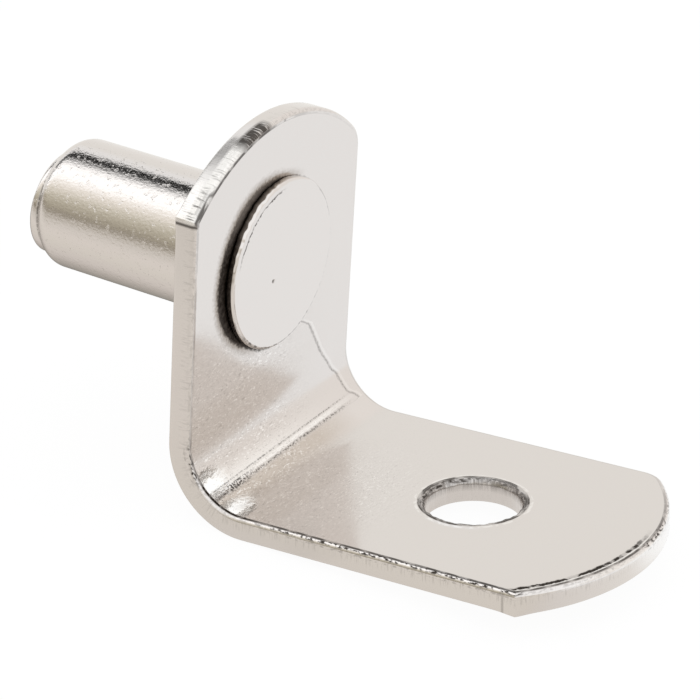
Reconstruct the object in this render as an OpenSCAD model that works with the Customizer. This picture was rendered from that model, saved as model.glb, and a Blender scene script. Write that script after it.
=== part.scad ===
// Shelf support pin: a stamped and bent strip with a turned pin riveted through its upright leg.
// Millimetres. +Z is up. The pin points along +Y into the cabinet side, the level leg along -Y under the
// shelf. The origin is on the pin's axis, in the back face of the upright leg.

/* [Strip] */
// Width of the strip
strip_w = 10.8; // [9:0.1:14]
// Thickness of the sheet
sheet_t = 0.85; // [0.5:0.05:1.5]
// Radius of the arc that cuts each free end
end_r = 7.5; // [7.1:0.1:16]
// Radius rolled onto the shelf-side edges by the stamping die
edge_roll = 0.2; // [0.05:0.05:0.3]
// Inner radius of the bend between the legs
bend_r = 2.15; // [0.6:0.05:3.5]
// How far the level leg is bent past square, so that it springs level under the shelf
over_bend = 4.8; // [0:0.2:8]
// How much the sheet thins through the bend, on each of its faces
bend_thin = 0.02; // [0.02:0.01:0.06]

/* [Upright leg] */
// Height of the pin's axis above the lowest line of the bend
axis_height = 8.3; // [7.5:0.1:20]
// Height of the upright leg above the pin's axis
upright_top = 5.75; // [4:0.05:12]

/* [Level leg] */
// Length of the level leg, from the end of the bend to the middle of its end arc
level_run = 13.5; // [11:0.1:40]
// Diameter of the screw hole
hole_d = 3.5; // [2.5:0.1:5]
// Distance of the screw hole from the end of the bend
hole_run = 6.5; // [3.5:0.1:7.5]
// Radius rolled onto the upper rim of the screw hole
hole_roll = 0.2; // [0.05:0.05:0.4]

/* [Pin] */
// Diameter of the pin, for the drilled hole in the cabinet side
pin_d = 5; // [4:0.1:6.5]
// Length of the straight part of the pin
pin_straight = 7.8; // [4:0.1:20]
// Length of the rounded nose
nose_l = 0.6; // [0.3:0.1:0.6]
// Radius of the nose's rounding, which leaves the straight part without an edge
nose_r = 0.7; // [0.7:0.1:1.8]
// How much narrower the short pilot is than the end of the nose, on the radius
pilot_step = 0.12; // [0.02:0.02:0.8]
// Length of the pilot
pilot_l = 0.45; // [0.3:0.05:2]
// Rounding of the pilot's edge
pilot_round = 0.2; // [0.05:0.05:0.3]

/* [Rivet] */
// Diameter of the tenon that goes through the upright leg
tenon_d = 3.4; // [2:0.1:4.5]
// Gap between the tenon and its hole, on the radius
tenon_gap = 0.05; // [0.01:0.01:0.2]
// Diameter of the flattened head
head_d = 6.5; // [5:0.1:9]
// Thickness of the flattened head
head_t = 0.3; // [0.2:0.05:1]
// Rounding of the head's front edge
head_round = 0.12; // [0.02:0.02:0.18]

/* [Hidden] */
$fn = 96;

// How far a cutter reaches past the surface that it opens
cut_past = 1;

strip_half = strip_w / 2;
bend_outer_r = bend_r + sheet_t;
// Straight run of the upright leg, from the line where the bend ends to the middle of the end arc
upright_run = axis_height + upright_top - bend_outer_r;
// Half width of the part of a leg's cut that lies behind the end arc, between the strip's and the arc's own
behind_half = (strip_half + end_r) / 2;
right_angle = 90;
// Angle by which the turn of the strip laps into each leg
bend_lap = 3;

pin_r = pin_d / 2;
// How much the nose narrows, on the radius
nose_drop = nose_r - sqrt(pow(nose_r, 2) - pow(nose_l, 2));

// Rectangle from the origin whose far corner is rounded
module rounded_step(width, height, radius) {
    square([width, height - radius]);
    square([width - radius, height]);
    translate([width - radius, height - radius])
        circle(r = radius);
}

// Section across the strip, drawn in by an inset: the back face at y = 0, the rolled edges on the shelf side
module strip_section(inset) {
    for (side = [0, 1])
        mirror([side, 0])
            translate([0, inset])
                rounded_step(strip_half - inset, sheet_t - 2 * inset, edge_roll);
}

// What the end arc leaves of a leg: a round plate with a rolled rim, and all that lies behind its centre
module end_cut(run) {
    translate([0, run - end_r, -cut_past])
        rotate_extrude()
            rounded_step(end_r, cut_past + sheet_t, edge_roll);
    translate([-behind_half, -2 * end_r, -cut_past])
        cube([2 * behind_half, run + end_r, sheet_t + 2 * cut_past]);
}

// Leg that lies along +Y from the bend line, with its back face down
module leg(run) {
    intersection() {
        translate([0, run, 0])
            rotate([right_angle, 0, 0])
                linear_extrude(height = run)
                    strip_section(0);
        end_cut(run);
    }
}

// Turns what lies square to the upright leg about the bend's axis, as the level leg is bent past square
module past_square() {
    rotate([-over_bend, 0, 0])
        children();
}

// Turn of the strip about the bend's axis, which laps into the end of each leg
module bend() {
    rotate([-over_bend - bend_lap, 0, 0])
        rotate([0, right_angle, 0])
            rotate_extrude(angle = right_angle + over_bend + 2 * bend_lap)
                translate([bend_outer_r, 0])
                    rotate([0, 0, right_angle])
                        strip_section(bend_thin);
}

// Screw hole with a rolled upper rim, on the level leg's back face
module screw_hole() {
    hole_r = hole_d / 2;
    translate([0, 0, -cut_past])
        cylinder(d = hole_d, h = sheet_t + 2 * cut_past);
    translate([0, 0, sheet_t - hole_roll])
        rotate_extrude()
            difference() {
                square([hole_r + hole_roll, hole_roll + cut_past]);
                translate([hole_r + hole_roll, 0])
                    circle(r = hole_roll);
            }
}

// Level leg with its screw hole, below the bend's axis and square to the upright leg
module level_leg() {
    translate([0, 0, -bend_outer_r])
        difference() {
            rotate([0, 0, 2 * right_angle])
                leg(level_run);
            translate([0, -hole_run, 0])
                screw_hole();
        }
}

module bracket() {
    color([0.80, 0.78, 0.75])
        difference() {
            translate([0, -bend_outer_r, bend_outer_r - axis_height])
                union() {
                    translate([0, bend_outer_r, 0])
                        rotate([right_angle, 0, 0])
                            leg(upright_run);
                    bend();
                    past_square()
                        level_leg();
                }
            translate([0, cut_past, 0])
                rotate([right_angle, 0, 0])
                    cylinder(d = tenon_d + 2 * tenon_gap, h = sheet_t + 2 * cut_past);
        }
}

// Half section of the pin: radius along x, the back face of the upright leg at y = 0
module pin_section() {
    translate([0, -sheet_t])
        mirror([0, 1])
            rounded_step(head_d / 2, head_t, head_round);
    translate([0, -sheet_t])
        square([tenon_d / 2, sheet_t]);
    square([pin_r, pin_straight]);
    square([pin_r - nose_r, pin_straight + nose_l]);
    translate([0, pin_straight])
        intersection() {
            square([pin_r, nose_l]);
            translate([pin_r - nose_r, 0])
                circle(r = nose_r);
        }
    translate([0, pin_straight + nose_l])
        rounded_step(pin_r - nose_drop - pilot_step, pilot_l, pilot_round);
}

module pin() {
    color([0.83, 0.81, 0.77])
        rotate([-right_angle, 0, 0])
            rotate_extrude()
                pin_section();
}

bracket();
pin();
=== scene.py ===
import functools
import math
from types import SimpleNamespace

import bmesh
import bpy
import numpy as np
from mathutils import Matrix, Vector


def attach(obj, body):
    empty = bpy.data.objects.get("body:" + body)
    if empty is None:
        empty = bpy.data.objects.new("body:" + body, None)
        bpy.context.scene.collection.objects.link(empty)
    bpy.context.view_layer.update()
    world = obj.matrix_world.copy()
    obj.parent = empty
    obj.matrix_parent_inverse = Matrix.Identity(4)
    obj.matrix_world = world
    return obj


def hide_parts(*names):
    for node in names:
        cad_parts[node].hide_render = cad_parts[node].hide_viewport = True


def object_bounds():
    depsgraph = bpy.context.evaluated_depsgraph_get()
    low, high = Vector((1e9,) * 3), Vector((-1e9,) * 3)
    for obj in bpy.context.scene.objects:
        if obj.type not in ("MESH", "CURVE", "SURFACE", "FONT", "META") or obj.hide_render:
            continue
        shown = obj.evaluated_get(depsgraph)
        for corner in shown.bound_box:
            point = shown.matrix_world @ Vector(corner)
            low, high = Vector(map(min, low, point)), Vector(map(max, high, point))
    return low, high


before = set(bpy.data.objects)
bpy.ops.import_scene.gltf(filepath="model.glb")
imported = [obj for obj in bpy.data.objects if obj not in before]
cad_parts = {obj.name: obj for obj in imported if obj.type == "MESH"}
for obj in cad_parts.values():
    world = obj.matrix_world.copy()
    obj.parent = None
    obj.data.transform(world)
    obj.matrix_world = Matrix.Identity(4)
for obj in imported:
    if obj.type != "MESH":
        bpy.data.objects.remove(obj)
cadBox = [list(corner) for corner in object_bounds()]
print("frame:", ", ".join(sorted(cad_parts)))

mm = 0.001
quarter = math.pi / 2
# settings that many nodes share
smooth = {"interpolation_type": "SMOOTHSTEP"}
asLength = {"out": "Value", "operation": "LENGTH"}
asDot = {"out": "Value", "operation": "DOT_PRODUCT"}
asColour = {"out": 2, "data_type": "RGBA"}


def linearColour(hexText):
    # sRGB hex to linear light, by the standard two-part curve
    c = np.array([int(hexText[i:i + 2], 16) for i in (1, 3, 5)]) / 255
    low, high = c / 12.92, ((c + 0.055) / 1.055) ** 2.4
    return (*np.where(c <= 0.04045, low, high), 1.0)


def addNode(tree, kind, inputs=None, stops=None, out=0, **settings):
    # One node with its settings; gives the named output. Inputs go by name or, from a list, by place, and
    # take a value or another node's output. Stops fill a colour ramp.
    node = tree.nodes.new("ShaderNode" + kind)
    for name, value in settings.items():
        setattr(node, name, value)
    for name, value in inputs.items() if isinstance(inputs, dict) else enumerate(inputs or []):
        if isinstance(value, bpy.types.NodeSocket):
            tree.links.new(value, node.inputs[name])
        else:
            node.inputs[name].default_value = value
    if stops:
        ramp = node.color_ramp
        while len(ramp.elements) < len(stops):
            ramp.elements.new(0.5)
        for element, (place, level) in zip(ramp.elements, stops):
            element.position = place
            element.color = (*level, 1) if len(np.shape(level)) else (level, level, level, 1)
    return node.outputs[out] if node.outputs else None


def newMaterial(name):
    # An empty node tree, the node helper bound to it, and the place on the piece in mm
    material = bpy.data.materials.new(name)
    material.use_nodes = True
    tree = material.node_tree
    tree.nodes.clear()
    put = functools.partial(addNode, tree)
    place = put("VectorMath", {0: put("TexCoord", out="Object"), "Scale": 1 / mm}, operation="SCALE")
    return material, put, place


def fold(put, operation, *parts):
    # Several masks put together by one operation, such as their product or their greatest
    return functools.reduce(lambda a, b: put("Math", [a, b], operation=operation), parts)


def folds(put):
    # The two ways that masks are put together most, for one node tree
    return functools.partial(fold, put, "MULTIPLY"), functools.partial(fold, put, "MAXIMUM")


def between(put, value, start, full, fade, gone):
    # Mask that grows from 0 to 1 over the first two values and shrinks back to 0 over the last two
    return fold(put, "MULTIPLY", put("MapRange", [value, start, full]), put("MapRange", [value, gone, fade]))


def apart(put, a, b):
    # Distance between two values
    return put("Math", [fold(put, "SUBTRACT", a, b)], operation="ABSOLUTE")


def ripple(a, b, count, size, seed):
    # Sum of plane sine waves with seeded directions and phases, about 1 high; size is the usual wavelength
    draw = np.random.default_rng(seed)
    turn, phase = draw.uniform(0, 2 * math.pi, (2, count))
    rate = 2 * math.pi / (size * draw.uniform(0.6, 1.6, count))
    waves = [np.sin(r * (a * math.cos(t) + b * math.sin(t)) + p) for r, t, p in zip(rate, turn, phase)]
    return sum(waves) / math.sqrt(count)


def meshPiece(name, points, quads, values):
    # Points in mm and quads become a mesh. Rows that close on a point or a seam are welded, and a shape whose
    # signed volume comes out negative is turned right side out.
    weldGap, needleGap = 2e-8, 1e-9
    a, b, c, d = (points[quads[:, i]] for i in range(4))
    volume = (np.cross(a, b) * c + np.cross(a, c) * d).sum()
    if volume < 0:
        quads = quads[:, ::-1]
    mesh = bpy.data.meshes.new(name)
    mesh.from_pydata((points * mm).tolist(), [], quads.tolist())
    for label, numbers in values.items():
        layer = mesh.attributes.new(label, "FLOAT", "POINT")
        layer.data.foreach_set("value", numbers.astype(np.float32))
    work = bmesh.new()
    work.from_mesh(mesh)
    bmesh.ops.remove_doubles(work, verts=work.verts, dist=weldGap)
    bmesh.ops.dissolve_degenerate(work, edges=work.edges, dist=needleGap)
    openEdges = sum(1 for e in work.edges if len(e.link_faces) != 2)
    work.to_mesh(mesh)
    work.free()
    mesh.shade_smooth()
    piece = bpy.data.objects.new(name, mesh)
    bpy.context.scene.collection.objects.link(piece)
    print(name, "faces:", len(mesh.polygons), "open edges:", openEdges)
    return piece


def gridQuads(index):
    # Quads between neighbouring rows and columns of an index grid whose last column joins the first
    index = np.column_stack([index, index[:, :1]])
    corners = [index[:-1, :-1], index[:-1, 1:], index[1:, 1:], index[1:, :-1]]
    return np.stack(corners, -1).reshape(-1, 4)


# Camera, from a fit of the part's outline to the picture: degrees, mm, and the focal length in pixels
look = {"azimuth": -59.529, "elevation": 26.070, "roll": 3.439, "distance": 110.256, "aside": 3.558,
        "above": -3.159, "focal": 3021.9, "frame": 700, "sensor": 36.0, "clip": (0.005, 20)}


def addCamera():
    # Back, right and up follow from azimuth and elevation; the roll turns right and up about the line of
    # sight
    a, e, r = (math.radians(look[k]) for k in ("azimuth", "elevation", "roll"))
    back = np.array([math.sin(a) * math.cos(e), -math.cos(a) * math.cos(e), math.sin(e)])
    right = np.array([math.cos(a), math.sin(a), 0])
    up = np.cross(back, right)
    place = (back * look["distance"] + right * look["aside"] + up * look["above"]) * mm
    rolledRight = math.cos(r) * right + math.sin(r) * up
    rolledUp = math.cos(r) * up - math.sin(r) * right
    axes = np.column_stack([rolledRight, rolledUp, back])
    lens = bpy.data.cameras.new("camera")
    lens.sensor_width = look["sensor"]
    lens.lens = look["focal"] / look["frame"] * look["sensor"]
    lens.clip_start, lens.clip_end = look["clip"]
    camera = bpy.data.objects.new("camera", lens)
    camera.matrix_world = Matrix.Translation(place) @ Matrix(axes.tolist()).to_4x4()
    bpy.context.scene.collection.objects.link(camera)
    bpy.context.scene.camera = camera


addCamera()
print("camera set")

# Stamped strip, in mm. Across is x; q runs down the strip, below 0 on the upright leg and past the bend on
# the level leg. The offsets and back values keep the edges apart for the material.
strip = {"half": 5.4, "thick": 0.85, "endRadius": 7.5, "roll": 0.2, "bendOuter": 3.0, "underside": -8.3,
         "turn": math.radians(94.8), "uprightRun": 11.05, "levelRun": 13.5, "nearCorner": 0.06,
         "farCorner": 1.2, "sharp": 0.012, "burr": 0.06, "burrReach": 0.2, "backEdge": 0.05, "support": 0.05,
         "faceColumns": 80, "arcRows": 38, "cornerRows": 7, "uprightRows": 66, "bendRows": 96,
         "levelRows": 84,
         "screwHole": {"q": 6.5, "radius": 1.75, "roll": 0.2, "block": 2.75, "uneven": 0.03, "lip": 0.05},
         "rivetHole": {"q": -5.3, "radius": 1.75, "roll": 0.02, "block": 2.1, "uneven": 0.0, "lip": 0.0},
         "holeBackEdge": 0.03, "holeLip": [0, 0, 0, 0.1, 0.5, 1, 1, 0.8, 0.5, 0.2],
         "waves": {"height": 0.0012, "count": 9, "size": 4.0, "seed": 3},
         "dip": {"radius": 3.25, "depth": 0.03, "reach": 0.35},
         "ridge": {"q": 2.42, "slant": 0.028, "height": 0.012, "reach": 0.1},
         "farOffset": 70, "holeOffset": 150, "faceBack": 2.0, "holeBack": 1.6}
strip["bendLength"] = (strip["bendOuter"] - strip["thick"] / 2) * strip["turn"]
strip["bendAxis"] = (0, -strip["bendOuter"], strip["underside"] + strip["bendOuter"])
strip["levelWay"] = (0, -math.sin(strip["turn"]), -math.cos(strip["turn"]))


def bendStrip(u, q, h):
    # The flat strip folded into an L. h is the height above the back face. The upright stands straight above
    # q = 0, the bend turns at the outer radius minus h, and the level leg runs straight on from it.
    outer, length = strip["bendOuter"], strip["bendLength"]
    turn = np.clip(q / length, 0, 1) * strip["turn"]
    radius, out = outer - h, np.maximum(q - length, 0)
    y = radius * np.cos(turn) - outer - out * np.sin(turn)
    z = strip["underside"] + outer - radius * np.sin(turn) - out * np.cos(turn) - np.minimum(q, 0)
    return np.stack([u + 0 * y, y, z], -1)


def freeEnd(run, corner, inset):
    # Half of a free end moved in by an inset, from the apex to the straight side: an arc, then a corner round
    # that touches the arc and the side. A point is its circle's centre plus the radius times (cos a, sin a).
    half, big = strip["half"] - inset, strip["endRadius"] - inset
    small = max(corner - inset, strip["sharp"])
    centre = run - strip["endRadius"]
    rise = math.sqrt((big - small) ** 2 - (half - small) ** 2)
    meet = math.atan2(rise, half - small)
    onArc = np.linspace(quarter, meet, strip["arcRows"])
    onCorner = np.linspace(meet, 0, strip["cornerRows"] + 1)[1:]
    u = np.concatenate([big * np.cos(onArc), half - small + small * np.cos(onCorner)])
    e = np.concatenate([centre + big * np.sin(onArc), centre + rise + small * np.sin(onCorner)])
    return u, e


def sideLine(side, inset):
    # One long side moved in by an inset, from the top apex to the end apex, with as many rows at any inset
    corner = strip["farCorner"] if side > 0 else strip["nearCorner"]
    upU, upE = freeEnd(strip["uprightRun"], corner, inset)
    outU, outE = freeEnd(strip["levelRun"], corner, inset)
    length = strip["bendLength"]
    upright = upE[-1] * np.linspace(1, 0, strip["uprightRows"] + 1)[1:]
    bend = np.linspace(0, length, strip["bendRows"] + 1)[1:]
    level = length + outE[-1] * np.linspace(0, 1, strip["levelRows"] + 1)[1:-1]
    q = np.concatenate([-upE, -upright, bend, level, length + outE[::-1]])
    straight = np.full(len(upright) + len(bend) + len(level), strip["half"] - inset)
    return side * np.concatenate([upU, straight, outU[::-1]]), q


def edgeProfile():
    # Across the edge from the shelf-side face to the back face: inset and height of a quarter-round roll, the
    # cut face, and a small quarter round at the back
    t, roll, small, step = strip["thick"], strip["roll"], strip["backEdge"], strip["support"]
    g = np.linspace(0, quarter, 10)
    b = np.linspace(0, quarter, 4)
    cut = np.linspace(t - roll, small, 8)[1:-1]
    inset = np.concatenate([[roll + step], roll * (1 - np.sin(g)), 0 * cut, small * (1 - np.cos(b)),
                            [small + step]])
    height = np.concatenate([[t], t - roll + roll * np.cos(g), cut, small * (1 - np.sin(b)), [0]])
    return inset, height


def faceRelief(u, q):
    # Height added to the shelf-side face: the rolled sheet's unevenness, a dip pressed in round the rivet
    # head, and the low ridge that the bending tool left across the bend
    waves, dip, ridge = strip["waves"], strip["dip"], strip["ridge"]
    fromHead = np.maximum(np.hypot(u, q - strip["rivetHole"]["q"]) - dip["radius"], 0)
    fromRidge = q - (ridge["q"] - ridge["slant"] * u)
    return (waves["height"] * ripple(u, q, waves["count"], waves["size"], waves["seed"])
            - dip["depth"] * np.exp(-(fromHead / dip["reach"]) ** 2)
            + ridge["height"] * np.exp(-(fromRidge / ridge["reach"]) ** 2))


# Hairline crack in the plating: from the rivet head down over the bend, as u against q
crack = {"q": [-2.29, -1.95, -1.29, -0.47, 0.2, 0.69, 0.98, 1.66, 2.0, 2.27, 2.56],
         "u": [1.85, 2.43, 2.84, 3.34, 3.88, 4.1, 4.36, 4.47, 4.49, 4.74, 4.88], "slant": 0.75, "fade": 20}


def fromCrack(u, q):
    # Sideways distance from the crack's line, growing fast past both of its ends
    past = np.maximum(crack["q"][0] - q, 0) + np.maximum(q - crack["q"][-1], 0)
    return crack["slant"] * (u - np.interp(q, crack["q"], crack["u"])) + crack["fade"] * past


def holeRings(hole, centre, edgeU, edgeQ, seed):
    # Rings from the face grid's edge in to a hole's rim, over its roll, down its wall and out again on the
    # back: each ring blends the grid's edge with a circle, at its own radius and height
    t, r, roll, small = strip["thick"], hole["radius"], hole["roll"], strip["holeBackEdge"]
    way = np.arctan2(edgeQ - centre, edgeU)
    g, b, blend = np.linspace(0, quarter, 8)[1:], np.linspace(0, quarter, 4), np.linspace(0, 1, 7)[1:]
    wall = np.linspace(t - roll, small, 8)[1:-1]
    flat, rear = len(blend), len(blend) - 1
    radius = np.concatenate([np.full(flat, r + roll), r + roll * (1 - np.sin(g)), 0 * wall + r,
                             r + small * (1 - np.cos(b)), np.full(rear, r + small)])
    height = np.concatenate([np.full(flat, t), t - roll + roll * np.cos(g), wall, small * (1 - np.sin(b)),
                             np.zeros(rear)])
    height[:len(strip["holeLip"])] += hole["lip"] * np.array(strip["holeLip"])
    share = np.concatenate([blend, np.ones(len(g) + len(wall) + len(b)), blend[-2::-1]])[:, None]
    # the rim is uneven where the punch tore it
    wave = sum(np.sin(k * way + 1.3 * k * k + seed) for k in (5, 9, 14, 23, 34)) / 2.2
    uneven = np.concatenate([[0, 0, 0, 0, 0.3, 0.7], np.linspace(1, 0.3, len(g)), np.full(len(wall), 0.2),
                             np.zeros(len(b) + rear)])
    radius = radius[:, None] + hole["uneven"] * uneven[:, None] * wave
    ringU = share * radius * np.cos(way) + (1 - share) * edgeU
    ringQ = share * (centre + radius * np.sin(way)) + (1 - share) * edgeQ
    across = np.concatenate([np.zeros(flat), roll * g, roll * quarter + (t - roll - wall),
                             np.full(len(b) + rear, strip["holeBack"])])[:, None] + 0 * ringU
    across[:flat] = -np.maximum(np.hypot(ringU, ringQ - centre)[:flat] - r - roll, 0)
    return ringU, ringQ, height[:, None] + 0 * ringU, across, way * r + strip["holeOffset"] + 0 * ringU


def makeBracket():
    # Each row crosses the strip: shelf-side face, far edge, back face, near edge. The rows run from apex to
    # apex. A block of the grid round each hole gives way to the hole's rings.
    inset, height = edgeProfile()
    near = np.stack([np.stack(sideLine(-1, i), -1) for i in inset], 1)
    far = np.stack([np.stack(sideLine(1, i), -1) for i in inset], 1)
    share = np.linspace(0, 1, strip["faceColumns"])[:, None]
    front = near[:, :1] * (1 - share) + far[:, :1] * share
    rear = (near[:, -1:] * (1 - share) + far[:, -1:] * share)[:, ::-1]
    flat = np.concatenate([front, far[:, 1:-1], rear, near[:, -2:0:-1]], 1)
    rows, columns = flat.shape[:2]
    m, p = strip["faceColumns"], len(inset) - 2
    u, q = flat[..., 0], flat[..., 1]
    h = np.concatenate([np.full(m, strip["thick"]), height[1:-1], np.zeros(m), height[-2:0:-1]]) + 0 * u
    # a burr hangs below the sharp near corners
    endCorner = strip["bendLength"] + freeEnd(strip["levelRun"], strip["nearCorner"], 0)[1][-1]
    topCorner = -freeEnd(strip["uprightRun"], strip["nearCorner"], 0)[1][-1]
    for corner, burr in ((endCorner, strip["burr"]), (topCorner, strip["burr"] / 2)):
        off = (u + strip["half"]) ** 2 + (q - corner) ** 2
        h -= burr * (1 - h / strip["thick"]) * np.exp(-off / strip["burrReach"])
    h[:, :m] += faceRelief(u[:, :m], q[:, :m])
    # distance over the edge from the flat face, and distance along it
    over = np.concatenate([[0], np.cumsum(np.hypot(np.diff(inset), np.diff(height)))]) - strip["support"]
    width = np.hypot(*(far[:, 0] - near[:, 0]).T)[:, None]
    inward = np.minimum(share.T, 1 - share.T) * width
    across = np.concatenate([-inward - strip["support"], over[1:-1] + 0 * width, inward + strip["faceBack"],
                             over[-2:0:-1] + 0 * width], 1)
    steps = [np.hypot(*np.diff(side[:, 4], axis=0).T) for side in (near, far)]
    nearRun, farRun = (np.concatenate([[0], np.cumsum(step)])[:, None] for step in steps)
    along = np.repeat(nearRun, columns, 1)
    along[:, m:m + p] = farRun + strip["farOffset"]
    index = np.arange(rows * columns).reshape(rows, columns)
    keep = np.ones((rows - 1, columns), bool)
    points, quads, sides, runs, total = [bendStrip(u, q, h)], [], [across], [along], rows * columns
    cracks = [fromCrack(u, q)]
    for seed, hole in enumerate((strip["screwHole"], strip["rivetHole"])):
        centre = hole["q"] + (strip["bendLength"] if hole["q"] > 0 else 0)
        k0, k1 = np.searchsorted(q[:, m // 2], [centre - hole["block"], centre + hole["block"]])
        j0 = np.searchsorted(u[(k0 + k1) // 2, :m], -hole["block"])
        j1 = m - 1 - j0
        block = ([(k0, j) for j in range(j0, j1)] + [(k, j1) for k in range(k0, k1)]
                 + [(k1, j) for j in range(j1, j0, -1)] + [(k, j0) for k in range(k1, k0, -1)])
        k, j = np.array(block).T
        back = m + p + (m - 1 - j)
        ringU, ringQ, ringH, ringSide, ringRun = holeRings(hole, centre, u[k, j], q[k, j], seed)
        inner = total + np.arange(ringU.size).reshape(ringU.shape)
        total += ringU.size
        points.append(bendStrip(ringU, ringQ, ringH))
        sides.append(ringSide)
        runs.append(ringRun)
        cracks.append(fromCrack(ringU, ringQ))
        keep[k0:k1, j0:j1] = False
        keep[k0:k1, m + p + (m - 1 - j1):m + p + (m - 1 - j0)] = False
        quads.append(gridQuads(np.vstack([index[k, j], inner, index[k, back]])))
    quads.append(gridQuads(index).reshape(rows - 1, columns, 4)[keep])
    flatten = lambda parts, shape: np.concatenate([part.reshape(shape) for part in parts])
    guides = {"across": flatten(sides, -1), "along": flatten(runs, -1), "crack": flatten(cracks, -1)}
    return meshPiece("bracket_strip", flatten(points, (-1, 3)), np.concatenate(quads), guides)


bracket = makeBracket()

# Turned pin, in mm, along y: head on the shelf side, tenon through the sheet, body, nose and pilot. Hold is
# the step between a crisp edge and the rows beside it.
turned = {"body": 2.5, "straight": 7.8, "noseRadius": 0.7, "noseLength": 0.6, "pilotStep": 0.12,
          "pilotLength": 0.45, "pilotRound": 0.2, "tenon": 1.7, "headRadius": 3.25, "headThick": 0.3,
          "headRound": 0.12, "steps": 240, "hold": 0.01, "headShift": (-0.06, 0.1),
          "tornWay": math.radians(128), "tornSpread": 0.6, "tornOut": 0.007, "tornLift": 0.02,
          "pit": (-0.68, -0.37), "pitDepth": 0.05, "pitSpread": 0.005,
          "pilotShift": (-0.11, -0.06), "pilotLean": 0.075, "pilotBlend": 0.05}


def roundCorner(y, r, radius, start, count):
    # Points of a quarter circle about (y, r), from the given angle
    a = np.radians(start) + np.linspace(0, quarter, count)
    return np.stack([y + radius * np.cos(a), r + radius * np.sin(a)], -1)


def pinProfile():
    # Half section as (y, radius) from the middle of the head's front face to the middle of the pilot's end
    w, t, hold = turned, strip["thick"], turned["hold"]
    front, rim, head = -t - w["headThick"], w["headRound"], w["headRadius"]
    drop = w["noseRadius"] - math.sqrt(w["noseRadius"] ** 2 - w["noseLength"] ** 2)
    pilot, step = w["body"] - drop - w["pilotStep"], w["straight"] + w["noseLength"]
    end, bevel = step + w["pilotLength"], w["pilotRound"]
    spread = lambda y0, r0, y1, r1, n: np.stack([np.linspace(y0, y1, n), np.linspace(r0, r1, n)], -1)
    headEdge = roundCorner(front + rim, head - rim, rim, 90, 9)[::-1]
    sweep = np.linspace(0, math.asin(w["noseLength"] / w["noseRadius"]), 14)[1:]
    nose = np.stack([w["straight"] + w["noseRadius"] * np.sin(sweep),
                     w["body"] - w["noseRadius"] * (1 - np.cos(sweep))], -1)
    tip = roundCorner(end - bevel, pilot - bevel, bevel, 0, 7)[::-1]
    return np.concatenate([
        spread(front, 0, front, head - rim - 2 * hold, 64), headEdge,
        spread(front + rim + 2 * hold, head, -t, head, 6), spread(-t, head - 4 * hold, -t, w["tenon"], 4),
        spread(-t + 3 * hold, w["tenon"], -3 * hold, w["tenon"], 3),
        spread(0, w["tenon"], 0, w["body"] - 2 * hold, 4),
        spread(hold, w["body"], w["straight"], w["body"], 40), nose,
        spread(step, w["body"] - drop - 3 * hold, step, pilot, 3),
        spread(step + 3 * hold, pilot, end - bevel - 2 * hold, pilot, 3), tip,
        spread(end, pilot - bevel - 2 * hold, end, 0, 12)])


def makePin():
    # The half section turned about the y axis: x = r cos a, z = r sin a. The head is upset a little off the
    # middle, its upper left rim is crumpled, and a small pit is pressed into its face.
    w, section, bore = turned, pinProfile(), strip["rivetHole"]["radius"]
    a = np.linspace(0, 2 * math.pi, w["steps"], endpoint=False)
    y, r = section[:, :1] + 0 * a, section[:, 1:] + 0 * a
    x, z = r * np.cos(a), r * np.sin(a)
    onHead = (y < -strip["thick"] + 0.001) * np.clip((r - bore) / (w["headRadius"] - bore), 0, 1)
    torn = onHead ** 4 * np.exp(-((a - w["tornWay"]) / w["tornSpread"]) ** 2)
    wave = sum(np.sin(k * a + 1.7 * k * k) for k in (11, 19, 31, 47, 61)) / 2
    grow = 1 + w["tornOut"] * torn * wave
    x, z = x * grow + onHead * w["headShift"][0], z * grow + onHead * w["headShift"][1]
    fromPit = (x - w["pit"][0]) ** 2 + (z - w["pit"][1]) ** 2
    onFront = y < -strip["thick"] - w["headThick"] / 2
    y = y + onFront * (w["tornLift"] * torn * np.roll(wave, 9)
                       + w["pitDepth"] * np.exp(-fromPit / w["pitSpread"]))
    # the pilot was cut off askew and a little off the middle
    onPilot = np.clip((y - w["straight"] - w["noseLength"]) / w["pilotBlend"], 0, 1)
    x, z = x + onPilot * w["pilotShift"][0], z + onPilot * w["pilotShift"][1]
    y = y - onPilot * w["pilotLean"] * z
    points = np.stack([x, y, z], -1).reshape(-1, 3)
    return meshPiece("riveted_pin", points, gridQuads(np.arange(r.size).reshape(r.shape)), {})


pin = makePin()

# Nickel plating: a pale, nearly neutral mirror, painted dark and warm as shade in crevices and over the bend,
# dark and warm at torn edges, with painted highlights
plating = {"tone": "#E4E0DD", "bendShade": "#C9BFB4", "bright": "#FEFDFB", "dark": "#2A2119",
           "creviceShade": "#1E140D", "shadeRound": "#7A6A58"}
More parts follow.
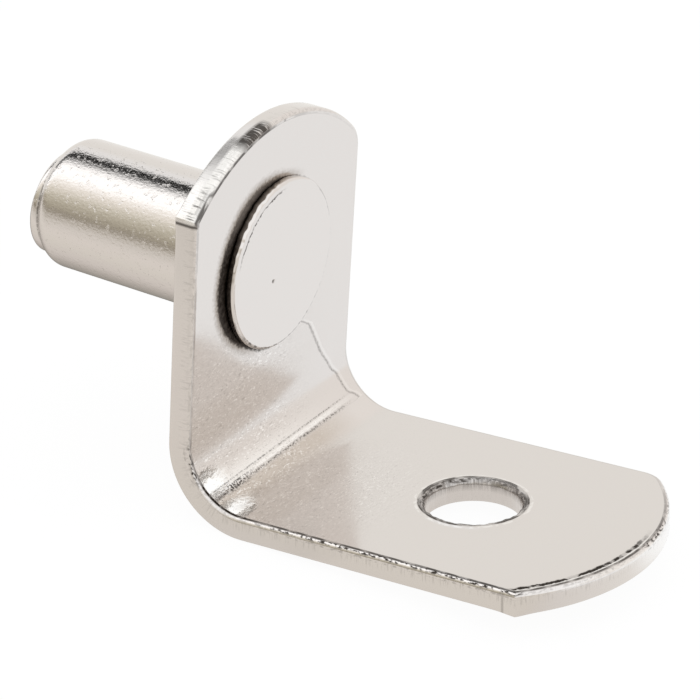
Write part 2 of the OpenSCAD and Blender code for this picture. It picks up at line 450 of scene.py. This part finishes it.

# Wear of the strip and places of its painted light and shade, in mm. The first three lines are places along
# the near
# # edge, from the top apex: where a mark starts, is full, fades and is gone, or one place; the single places
# are painted
# # shade lines where the edge turns into a corner. The zones below give a share by the distance over the edge
# from the flat
# # face, within reach. A painted highlight spot has its middle and its scale, and the crease its run and
# slant, across and
# # round the bend. The painted shade in the crevice is widest on its side.
wearAndPaintedLight = {"patch": (0.6, 1.0, 2.2, 2.8), "burnished": (1.9, 2.5, 5.95, 6.1), "tornLine": (0.0, 1.0, 6.0, 6.1),
        "tornDash": (4.4, 4.8, 6.0, 6.1), "topShadeAt": 6.08, "bend": (16.0, 16.6, 19.0, 21.0),
        "endShadeAt": 29.58, "end": (30.1, 30.5, 60.0, 70.0), "hole": (140.0, 141.0),
        "reach": (-0.2, 1.2),
        "line": [(-0.03, 0.0), (0.0, 1.0), (0.07, 1.0), (0.11, 0.0)],
        "dash": [(0.03, 0.0), (0.07, 1.0), (0.17, 1.0), (0.23, 0.15), (0.28, 0.3), (0.33, 0.3), (0.37, 0.0)],
        "stroke": [(0.04, 0.0), (0.1, 1.0), (0.5, 1.0), (0.66, 0.0)],
        "cut": [(0.02, 0.0), (0.08, 1.0), (0.5, 1.0), (0.62, 0.45), (0.94, 0.45), (1.0, 0.0)],
        "glintSpots": [((-4.8, 1.75), (0.58, 1.55)), ((-4.85, 3.05), (0.68, 1.8))],
        "crease": {"run": 2.023, "slant": 0.0233}, "creviceSide": (-0.92, 0, 0.392)}


def sheetGuides(put, place):
    # What the strip's marks go by: place, distance over and along the edges, and noises. A noise's scale is
    # one over its grain in mm.
    g = SimpleNamespace(place=place)
    g.x, g.y, g.z = (put("SeparateXYZ", [place], out=axis) for axis in "XYZ")
    g.across, g.along, g.crack = (put("Attribute", out="Fac", attribute_name=name)
                                  for name in ("across", "along", "crack"))
    g.face = put("MapRange", [g.across, -0.03, 0.0, 1.0, 0.0])
    g.grain = put("TexNoise", {"Vector": place, "Scale": 12.0, "Detail": 2.0})
    g.fleck = put("TexNoise", {"Vector": place, "Scale": 7.0, "Detail": 3.0})
    drawn = put("VectorMath", [place, (6.5, 15.0, 15.0)], operation="MULTIPLY")  # longer across the strip
    g.streak = put("TexNoise", {"Vector": drawn, "Scale": 1.0, "Detail": 1.0, "Distortion": 1.2})
    edge = put("CombineXYZ", [g.along, g.across])
    onEdge = (put("VectorMath", [edge, (*scale, 0)], operation="MULTIPLY")
              for scale in ((1.3, 3.0), (5.0, 9.0), (15.0, 1.6)))
    g.gap, g.chip, g.stroke = (put("TexNoise", {"Vector": way, "Scale": 1.0, "Detail": 4.0})
                               for way in onEdge)
    return g


def rivetCrevice(put, g):
    # Painted shade in the crevice beside the rivet head, widest at its left, and a softer painted shade round
    # it
    product, _ = folds(put)
    disc = put("VectorMath", [g.place, (1, 0, 1)], operation="MULTIPLY")
    radius = put("VectorMath", [disc], **asLength)
    way = put("VectorMath", [disc], operation="NORMALIZE")
    lean = put("VectorMath", [way, wearAndPaintedLight["creviceSide"]], **asDot)
    leftward = put("MapRange", [lean, 0.15, 1.0, 0.0, 0.58], **smooth)
    reach = put("Math", [g.fleck, 0.3, fold(put, "SUBTRACT", radius, leftward)], operation="MULTIPLY_ADD")
    aboveBend = put("MapRange", [g.z, -5.0, -4.5])
    crevice = product(put("MapRange", [reach, 3.36, 3.54, 1.0, 0.0], **smooth), g.face, aboveBend,
                      put("MapRange", [g.z, 1.4, 2.8, 1.0, 0.7]),
                      put("MapRange", [g.fleck, 0.35, 0.6, 0.84, 1.0]))
    shadeRound = product(put("MapRange", [reach, 3.4, 3.85, 0.75, 0.0], **smooth), g.face, aboveBend,
                    put("MapRange", [lean, -0.1, 0.3]))
    return crevice, shadeRound


def shearedEdges(put, g):
    # Sheared edges: a broken dark line where the roll starts, chips along the roll, strokes across the cut,
    # painted
    #     shade in the hole's wall and in a line where the top arc turns into its corner, and a painted
    #     highlight beside the hole's rim. Gives the dark and bright marks, the burnished stretch and how deep
    #     the strokes are ploughed.
    product, greatest = folds(put)
    first, last = wearAndPaintedLight["reach"]
    over = put("MapRange", [g.across, first, last])
    zone = {name: put("ValToRGB", [over], stops=[((at - first) / (last - first), share)
                                                 for at, share in wearAndPaintedLight[name]])
            for name in ("line", "dash", "stroke", "cut")}
    stroked = put("MapRange", [g.stroke, 0.52, 0.68])
    low = put("MapRange", [g.z, -4.6, -6.2], **smooth)
    nearer = put("MapRange", [g.x, 5.0, 1.0, 0.2, 1.0])
    atEnd, inBend = between(put, g.along, *wearAndPaintedLight["end"]), between(put, g.along, *wearAndPaintedLight["bend"])
    endOrBend = greatest(atEnd, inBend)
    atHole = put("MapRange", [g.along, *wearAndPaintedLight["hole"]])
    chipped = greatest(put("MapRange", [g.chip, 0.48, 0.58]),
                       product(put("MapRange", [g.chip, 0.38, 0.5]), atHole, 0.8))
    worn = product(nearer, put("MapRange", [endOrBend, 0.0, 1.0, 1.0, 0.3]),
                   put("MapRange", [low, 0.0, 1.0, 0.16, 0.95]))
    lined = product(nearer, put("MapRange", [low, 0.0, 1.0, 0.22, 0.85]),
                    put("MapRange", [g.gap, 0.4, 0.54, put("MapRange", [low, 0.0, 1.0, 0.0, 0.35]), 1.0]))
    lined = greatest(lined, product(endOrBend, put("MapRange", [g.x, 3.2, 1.0]),
                                    put("MapRange", [g.chip, 0.36, 0.46, 0.55, 1.0]),
                                    put("MapRange", [atEnd, 0.0, 1.0, 1.0, 0.4])))

    # the punch left the hole's wall dull; it is also painted dark as shade, darkest under the rim. The rim is
    # broken dark, with a painted highlight line just outside it
    punchedAndShaded = product(atHole, put("MapRange", [g.across, 0.05, 0.12]),
                      put("MapRange", [g.across, 0.14, 0.55, 0.66, 0.06]),
                      put("MapRange", [g.stroke, 0.35, 0.6, 0.4, 1.0]))
    rimDark = product(atHole, between(put, g.across, -0.1, -0.07, -0.02, 0.0),
                      put("MapRange", [g.gap, 0.42, 0.54, 0.25, 0.9]))
    rimLight = product(atHole, between(put, g.across, -0.24, -0.19, -0.13, -0.1),
                       put("MapRange", [g.chip, 0.46, 0.56, 0.0, 0.6]))

    # the upper near arc was torn: burnished white, then a dark patch short of the apex
    burnished = product(between(put, g.along, *wearAndPaintedLight["burnished"]), zone["cut"])
    patch = product(between(put, g.along, *wearAndPaintedLight["patch"]), zone["stroke"],
                    put("MapRange", [g.stroke, 0.36, 0.46, 0.2, 1.0]))
    torn = greatest(product(between(put, g.along, *wearAndPaintedLight["tornLine"]), zone["line"],
                            put("MapRange", [g.gap, 0.38, 0.5, 0.3, 1.0])),
                    product(between(put, g.along, *wearAndPaintedLight["tornDash"]), zone["dash"],
                            put("MapRange", [g.gap, 0.4, 0.5])))
    # painted shade: a dark line across the cut where the upper near arc turns into its corner
    topShadeLine = product(put("MapRange", [apart(put, g.along, wearAndPaintedLight["topShadeAt"]), 0.02, 0.09, 1.0, 0.0]),
                    between(put, g.across, 0.0, 0.1, 0.9, 1.1))
    dark = [product(zone["dash"], chipped, worn), product(zone["line"], lined),
            product(zone["stroke"], stroked, 0.16), product(patch, 0.9), product(torn, 0.8),
            product(topShadeLine, 0.8), punchedAndShaded, rimDark,
            product(burnished, stroked, put("MapRange", [g.along, 4.2, 5.4, 0.35, 0.9]))]
    ploughed = fold(put, "ADD", product(zone["stroke"], 0.001), product(burnished, 0.006))
    return SimpleNamespace(dark=dark, bright=[burnished, rimLight], burnished=burnished, ploughed=ploughed)


def tornFreeEnd(put, g):
    # The level leg's end is torn dark just inside its roll as far as the apex, with a painted highlight band
    # beside the
    #     tear and a painted highlight on the cut below. A painted shade line crosses the cut short of the
    #     near corner.
    product, _ = folds(put)
    fromBend = put("VectorMath", [g.place, strip["bendAxis"]], operation="SUBTRACT")
    toEnd = put("VectorMath", [fromBend, strip["levelWay"]], **asDot)
    fromCentre = fold(put, "SUBTRACT", toEnd, strip["levelRun"] - strip["endRadius"])
    radius = put("VectorMath", [put("CombineXYZ", [g.x, fromCentre])], **asLength)
    ragged = 0.16
    inside = fold(put, "SUBTRACT", strip["endRadius"] + ragged / 2, radius)
    inFromArc = put("Math", [g.fleck, -ragged, inside], operation="MULTIPLY_ADD")
    tear = put("TexNoise", {"Vector": g.place, "Scale": 2.6, "Detail": 3.0})
    nearEnd = product(put("MapRange", [toEnd, 9.5, 10.5]), put("MapRange", [g.x, 1.2, -0.2]), g.face)
    tornIn = product(nearEnd, between(put, inFromArc, 0.25, 0.3, 0.41, 0.47),
                     put("MapRange", [tear, 0.38, 0.5, 0.25, 1.0]))
    # painted highlight band beside the tear; below it, a painted highlight on the cut
    tearGlint = product(nearEnd, put("MapRange", [inFromArc, 0.3, 0.25]), 0.7)
    onCut = between(put, g.across, 0.1, 0.2, 0.9, 1.1)
    cutGlint = product(put("MapRange", [toEnd, 11.0, 11.6]), put("MapRange", [g.x, -5.0, 0.0, 0.0, 0.8]), onCut)
    # painted shade: a dark line across the cut where the end turns into the near corner
    endShadeLine = product(put("MapRange", [apart(put, g.along, wearAndPaintedLight["endShadeAt"]), 0.02, 0.07, 0.3, 0.0]), onCut)
    return SimpleNamespace(dark=[tornIn, endShadeLine], bright=[tearGlint, cutGlint])


def bentSheet(put, g):
    # Where the bend strained the sheet: a hairline crack with a painted highlight beside it, streaks, the
    # crease of the
    #     bending tool with a painted highlight along it, painted dark reflection lines beside it, fine above
    #     and broken below, a painted highlight band above it, painted shade over the bend, and painted
    #     highlight spots at the near edge. Run is the way round the inner bend.
    product, greatest = folds(put)
    axisY, axisZ = strip["bendAxis"][1:]
    section = put("VectorMath", [g.place, (0, 1, 1), (0, -axisY, -axisZ)], operation="MULTIPLY_ADD")
    fromAxis = put("VectorMath", [section], **asLength)
    strain = product(put("MapRange", [fromAxis, 2.2, 6.0, 1.0, 0.0], **smooth),
                     put("MapRange", [g.x, 4.0, 0.0, 0.25, 1.0]))
    wander = put("Math", [g.fleck, 0.12, fold(put, "SUBTRACT", g.crack, 0.06)], operation="MULTIPLY_ADD")
    cracked = product(put("MapRange", [put("Math", [wander], operation="ABSOLUTE"), 0.01, 0.075, 1.0, 0.0]),
                      g.face, put("MapRange", [g.grain, 0.35, 0.6, 0.2, 0.5]))
    # painted highlight beside the crack
    crackGlint = product(put("MapRange", [apart(put, wander, 0.13), 0.02, 0.08, 0.3, 0.0]), g.face)

    turn = put("Math", [fold(put, "SUBTRACT", axisZ, g.z), fold(put, "SUBTRACT", g.y, axisY)],
               operation="ARCTAN2")
    run = product(turn, strip["bendOuter"] - strip["thick"])
    crease = put("Math", [g.x, wearAndPaintedLight["crease"]["slant"], fold(put, "SUBTRACT", run, wearAndPaintedLight["crease"]["run"])],
                 operation="MULTIPLY_ADD")
    fromCrease = put("Math", [crease], operation="ABSOLUTE")
    onBend = product(put("MapRange", [fromAxis, 2.35, 2.6, 1.0, 0.0]), g.face)
    leftish = put("MapRange", [g.x, 4.6, -3.0], **smooth)
    # painted highlight along the crease
    creaseGlint = product(put("MapRange", [fromCrease, 0.05, 0.12, 1.0, 0.0]), onBend,
                     put("MapRange", [g.x, 2.0, 4.8, 1.0, 0.0]),
                     put("MapRange", [g.streak, 0.36, 0.55, 0.45, 1.0]))
    smutted = product(between(put, g.x, -4.5, -4.1, -3.4, -2.2), between(put, crease, -0.06, 0.0, 0.2, 0.34),
                      onBend, put("MapRange", [g.grain, 0.44, 0.54, 0.0, 0.9]))
    # painted dark reflection lines on both sides of the crease, fine above and broken below
    lineWidth = put("MapRange", [crease, -0.05, 0.05, 0.05, 0.1])
    creaseShadeLines = product(put("MapRange", [apart(put, fromCrease, 0.15), 0.0, lineWidth, 1.0, 0.0]), onBend,
                     put("MapRange", [g.x, 3.0, 4.6, 1.0, 0.0]),
                     put("MapRange", [g.grain, 0.45, 0.6, 0.1, 0.85]))
    # painted highlight band above the crease
    glow = product(put("MapRange", [crease, -0.9, -0.15], **smooth), put("MapRange", [crease, 0.0, -0.12]),
                   onBend, leftish, 0.75)
    below = product(between(put, crease, 0.08, 0.3, 0.7, 1.5), onBend,
                    put("MapRange", [g.x, 1.5, 4.0, 1.0, 0.0]))

    # the near edge of the bend carries painted highlight spots, made a little matt, above the crease and
    # below it
    glintSpots = []
    for middle, scale in wearAndPaintedLight["glintSpots"]:
        off = put("VectorMath", [put("CombineXYZ", [g.x, run]), (*middle, 0)], operation="SUBTRACT")
        off = put("VectorMath", [put("VectorMath", [off, (*scale, 0)], operation="MULTIPLY")], **asLength)
        ragged = put("Math", [g.fleck, 0.6, off], operation="MULTIPLY_ADD")
        glintSpots.append(product(put("MapRange", [ragged, 0.6, 1.35, 1.0, 0.0], **smooth), onBend))
    outward = put("MapRange", [g.x, -3.5, -5.25])
    flare = product(outward, outward, greatest(*glintSpots))

    glintsAndMatt = greatest(*glintSpots, glow)
    flecked = product(put("MapRange", [g.streak, 0.6, 0.68]), strain, g.face,
                      put("MapRange", [g.x, 3.0, -1.0, 0.1, 0.8]))
    pocked = product(put("MapRange", [g.streak, 0.38, 0.3]), strain, g.face,
                     put("MapRange", [g.x, 3.0, -1.0, 0.05, 0.25]))
    # painted shade over the bend, most below the crease
    bendShaded = greatest(product(below, 0.75), product(onBend, leftish, 0.2))
    return SimpleNamespace(dark=[cracked, product(creaseShadeLines, 0.95), smutted, pocked],
                           bright=[creaseGlint, glintsAndMatt, flecked, crackGlint],
                           strain=strain, glintsAndMatt=glintsAndMatt, flare=flare, bendShaded=bendShaded)


def stampedPlating():
    # Stamped sheet: smooth bright faces, streaked and chipped along the sheared edges, grainy where the bend
    # strained it,
    #     with painted shade over the bend and in the crevice beside the rivet head, and painted highlights at
    #     edges and bend
    material, put, place = newMaterial("nickel_plated_stamped_steel")
    product, greatest = folds(put)
    g = sheetGuides(put, place)
    crevice, shadeRound = rivetCrevice(put, g)
    edges, end, bend = shearedEdges(put, g), tornFreeEnd(put, g), bentSheet(put, g)
    darkness = greatest(*edges.dark, *end.dark, *bend.dark)
    brightness = greatest(*edges.bright, *end.bright, *bend.bright)
    tone = linearColour(plating["tone"])
    for share, shade in ((bend.bendShaded, "bendShade"), (brightness, "bright"), (darkness, "dark"),
                         (shadeRound, "shadeRound"), (crevice, "creviceShade")):
        tone = put("Mix", {0: share, 6: tone, 7: linearColour(plating[shade])}, **asColour)

    # heights in mm: fine grain, deeper where the sheet was strained, the strokes of the cut, and the turn
    # outward
    #     under the painted highlight spots at the bend's near edge
    height = product(g.grain, put("MapRange", [bend.strain, 0.0, 1.0, 0.0003, 0.0019]))
    height = put("Math", [g.stroke, edges.ploughed, height], operation="MULTIPLY_ADD")
    height = put("Math", [bend.flare, -0.62, height], operation="MULTIPLY_ADD")
    bump = put("Bump", {"Height": height, "Strength": 1.0, "Distance": mm})
    dull = [put("MapRange", [share, 0.0, 1.0, 0.1, most]) for share, most in (
        (darkness, 0.5), (crevice, 0.5), (edges.burnished, 0.62), (bend.glintsAndMatt, 0.4))]
    rough = greatest(put("MapRange", [bend.strain, 0.0, 0.7, 0.1, 0.23]), *dull)
    metal = put("BsdfPrincipled", {"Base Color": tone, "Metallic": 1.0, "Roughness": rough, "Normal": bump})
    put("OutputMaterial", {"Surface": metal})
    return material


# Wear and painted shade of the pin's head: its sides in degrees from +x toward +z, the left one being where
# # painted shade gathers, and the marks round its rim, each with its side, the least cosine to that side, its
# # radius and width in mm, and its share
headWearAndShade = {"left": 165, "fold": 128, "below": 268, "right": -20,
            "rings": [("fold", 0.78, 2.98, 0.05, 0.9), ("below", 0.6, 3.19, 0.06, 0.75),
                      ("right", 0.3, 3.19, 0.04, 0.4)]}


def turnedPlating():
    # Turned and riveted pin: a sharper mirror whose mottled skin breaks up the edges of what it reflects
    material, put, place = newMaterial("nickel_plated_turned_steel")
    product, greatest = folds(put)
    y = put("SeparateXYZ", [place], out="Y")
    onBody, onFront = put("MapRange", [y, 0.2, 0.5]), put("MapRange", [y, -0.95, -1.05])
    mottle = put("TexNoise", {"Vector": place, "Scale": 8.5, "Detail": 3.0, "Roughness": 0.6})
    fleck = put("TexNoise", {"Vector": place, "Scale": 9.0, "Detail": 3.0})
    dents = put("TexNoise", {"Vector": place, "Scale": 5.5, "Detail": 3.0})
    depth = fold(put, "MINIMUM", put("MapRange", [y, -0.4, 0.4, 0.0003, 0.0105]),
                 put("MapRange", [y, 8.3, 8.6, 0.0105, 0.003]))
    dented = product(put("MapRange", [dents, 0.61, 0.7]), onBody, -0.007)
    height = put("Math", [mottle, depth, dented], operation="MULTIPLY_ADD")
    bump = put("Bump", {"Height": height, "Strength": 1.0, "Distance": mm})

    # painted shade: the head's wall darkens toward the plate at its left, and so does the corner of the pilot
    shiftX, shiftZ = turned["headShift"]
    disc = put("VectorMath", [place, (1, 0, 1), (-shiftX, 0, -shiftZ)], operation="MULTIPLY_ADD")
    radius = put("VectorMath", [disc], **asLength)
    way = put("VectorMath", [disc], operation="NORMALIZE")
    toward = {}
    for side in ("left", "fold", "below", "right"):
        a = math.radians(headWearAndShade[side])
        toward[side] = put("VectorMath", [way, (math.cos(a), 0, math.sin(a))], **asDot)
    wall = product(between(put, y, -0.98, -0.86, -0.84, -0.8),
                   put("MapRange", [toward["left"], 0.0, 0.6]), 0.9)
    corner = product(between(put, y, 8.37, 8.4, 8.44, 8.52), put("MapRange", [toward["left"], 0.1, 0.5]),
                     put("MapRange", [fleck, 0.38, 0.5, 0.2, 0.85]))
    marks = [wall, corner]
    # its rim is folded at the upper left, and darker round its edge below and in a fine line at the right
    for side, least, ring, wide, share in headWearAndShade["rings"]:
        off = fold(put, "SUBTRACT", radius, ring + 0.08)
        ragged = put("Math", [fleck, 0.16, off], operation="MULTIPLY_ADD")
        off = put("Math", [ragged], operation="ABSOLUTE")
        marks.append(product(put("MapRange", [off, 0.3 * wide, wide, 1.0, 0.0]),
                             put("MapRange", [toward[side], least, least + 0.12]), onFront,
                             put("MapRange", [fleck, 0.4, 0.55, 0.3, 1.0]), share))
    # painted shade in the pit pressed into the head's face
    pitX, pitZ = turned["pit"]
    toPit = put("VectorMath", [place, (1, 0, 1), (-pitX, 0, -pitZ)], operation="MULTIPLY_ADD")
    fromPit = put("VectorMath", [toPit], **asLength)
    marks.append(product(put("MapRange", [fromPit, 0.04, 0.1, 0.7, 0.0]), onFront))
    marks.append(product(put("MapRange", [fleck, 0.66, 0.72]), onBody, 0.22))
    tone, dark = linearColour(plating["tone"]), linearColour(plating["dark"])
    tone = put("Mix", {0: greatest(*marks), 6: tone, 7: dark}, **asColour)
    metal = put("BsdfPrincipled", {"Base Color": tone, "Metallic": 1.0, "Roughness": 0.055, "Normal": bump})
    put("OutputMaterial", {"Surface": metal})
    return material


bracket.data.materials.append(stampedPlating())
pin.data.materials.append(turnedPlating())
print("plating set")

# Studio: a white room for the metal to mirror, brightest above, with a dark slot between the soft boxes
# behind
# # the part. Levels of the mirrored room go by the lean to the side of the vertical, in degrees, right
# positive;
# # those of the mirrored floor, left of the part and behind it, go by x in mm and hold a painted shadow,
# darkest
# # behind the upright. The mirrored floor under the level leg holds a painted shadow too.
studio = {"floorSize": 0.8, "floorDrop": 0.00002, "floorShade": 0.07, "floorGlow": 0.94,
          "floorFront": (0.98, 0.98, 0.98), "floorShadowUnder": (0.8, 0.765, 0.73),
          "floor": [(-160, (0.42, 0.38, 0.32)), (-52, (0.6, 0.56, 0.5)), (-22, (0.78, 0.74, 0.69)),
                    (-13, (0.85, 0.8, 0.75)), (-7, (0.81, 0.77, 0.71)), (-3, (0.74, 0.69, 0.65)),
                    (0, (0.52, 0.48, 0.44)), (4, (0.32, 0.3, 0.27)), (10, (0.26, 0.24, 0.22)),
                    (15, (0.92, 0.9, 0.865))],
          "roomFront": [(-180, (0.6, 0.56, 0.5)), (-75, (0.8, 0.76, 0.7)), (-55, 1.1), (15, 1.1),
                        (35, (1.0, 0.97, 0.93)), (55, (0.94, 0.9, 0.865)), (120, (0.95, 0.92, 0.89)),
                        (180, 0.95)],
          "roomBehind": [(-180, (0.6, 0.56, 0.5)), (-93, (0.42, 0.38, 0.32)), (-91, (0.12, 0.1, 0.08)),
                         (-88, (0.4, 0.36, 0.29)), (-78, (0.5, 0.46, 0.37)), (-68, (0.6, 0.56, 0.46)),
                         (-58, (0.76, 0.72, 0.62)), (-48, (0.95, 0.9, 0.82)), (-38, (1.12, 1.08, 1.02)),
                         (-28, 1.4), (-6, 1.4), (2, 1.0), (14.5, 0.025), (28, 0.015), (31, 0.97), (43, 0.98),
                         (52, (0.92, 0.9, 0.865)), (85, (0.92, 0.895, 0.86)), (105, 1.0), (180, 0.98)]}


def stopsOf(levels):
    # Ramp stops from levels given at places, spread over the first place to the last
    first, last = levels[0][0], levels[-1][0]
    return [((at - first) / (last - first), level) for at, level in levels]


def addFloor():
    # One square sheet just under the part. The camera sees it glow white with a faint shadow; mirrored rays
    # see its
    #     own levels, with a painted shadow behind the part and under its level leg.
    size, z = studio["floorSize"], cadBox[0][2] - studio["floorDrop"]
    mesh = bpy.data.meshes.new("floor")
    corners = [(-size, -size, z), (size, -size, z), (size, size, z), (-size, size, z)]
    mesh.from_pydata(corners, [], [(0, 1, 2, 3)])
    floor = bpy.data.objects.new("floor", mesh)
    bpy.context.scene.collection.objects.link(floor)
    paper, put, place = newMaterial("white_paper_floor")
    product, greatest = folds(put)
    x, y = (put("SeparateXYZ", [place], out=axis) for axis in "XY")
    seen = greatest(put("LightPath", out="Is Camera Ray"), put("LightPath", out="Is Transmission Ray"))
    levels = studio["floor"]
    # painted shadow in the mirrored floor: darker behind the part, and under the level leg
    floorAndShadow = put("ValToRGB", [put("MapRange", [x, levels[0][0], levels[-1][0]])], stops=stopsOf(levels))
    away = greatest(put("MapRange", [x, -4.5, -6.5], **smooth), put("MapRange", [y, -1.0, 2.0], **smooth))
    shadowUnder = product(put("MapRange", [y, -24.0, -19.0], **smooth), put("MapRange", [x, 4.5, 0.5], **smooth))
    front = put("Mix", {0: shadowUnder, 6: (*studio["floorFront"], 1), 7: (*studio["floorShadowUnder"], 1)}, **asColour)
    inMirror = put("Mix", {0: away, 6: front, 7: floorAndShadow}, **asColour)
    shade = studio["floorShade"]
    matt = put("BsdfDiffuse", {"Color": (shade, shade, shade, 1)})
    glow = put("Emission", [(1, 1, 1, 1), product(seen, studio["floorGlow"])])
    shown = put("MixShader", [put("LightPath", out="Is Glossy Ray"), put("AddShader", [matt, glow]),
                              put("Emission", [inMirror, 1.0])])
    put("OutputMaterial", {"Surface": shown})
    mesh.materials.append(paper)


def addRoom():
    # The world is white to the camera. Mirrored rays see the room, whose front is more even than its back.
    world = bpy.data.worlds.new("studio")
    bpy.context.scene.world = world
    world.use_nodes = True
    world.cycles.sampling_method = "NONE"
    world.node_tree.nodes.clear()
    put = functools.partial(addNode, world.node_tree)
    _, greatest = folds(put)
    way = put("TexCoord", out="Generated")
    x, y, z = (put("SeparateXYZ", [way], out=axis) for axis in "XYZ")
    lean = put("MapRange", [put("Math", [x, z], operation="ARCTAN2"), -math.pi, math.pi])
    front, rear = (put("ValToRGB", [lean], stops=stopsOf(studio[side]))
                   for side in ("roomFront", "roomBehind"))
    behind = put("MapRange", [y, 0.22, 0.4], **smooth)
    room = put("Mix", {0: behind, 6: front, 7: rear}, **asColour)
    mirrored = greatest(put("LightPath", out="Is Glossy Ray"), put("LightPath", out="Is Transmission Ray"))
    shown = put("Mix", {0: mirrored, 6: (1, 1, 1, 1), 7: room}, **asColour)
    put("OutputWorld", {"Surface": put("Background", [shown, 1.0])})


addFloor()
addRoom()
bpy.context.scene.view_settings.view_transform = "Standard"
print("studio set")

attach(bracket, "root")
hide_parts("bracket")
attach(pin, "root")
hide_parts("pin")
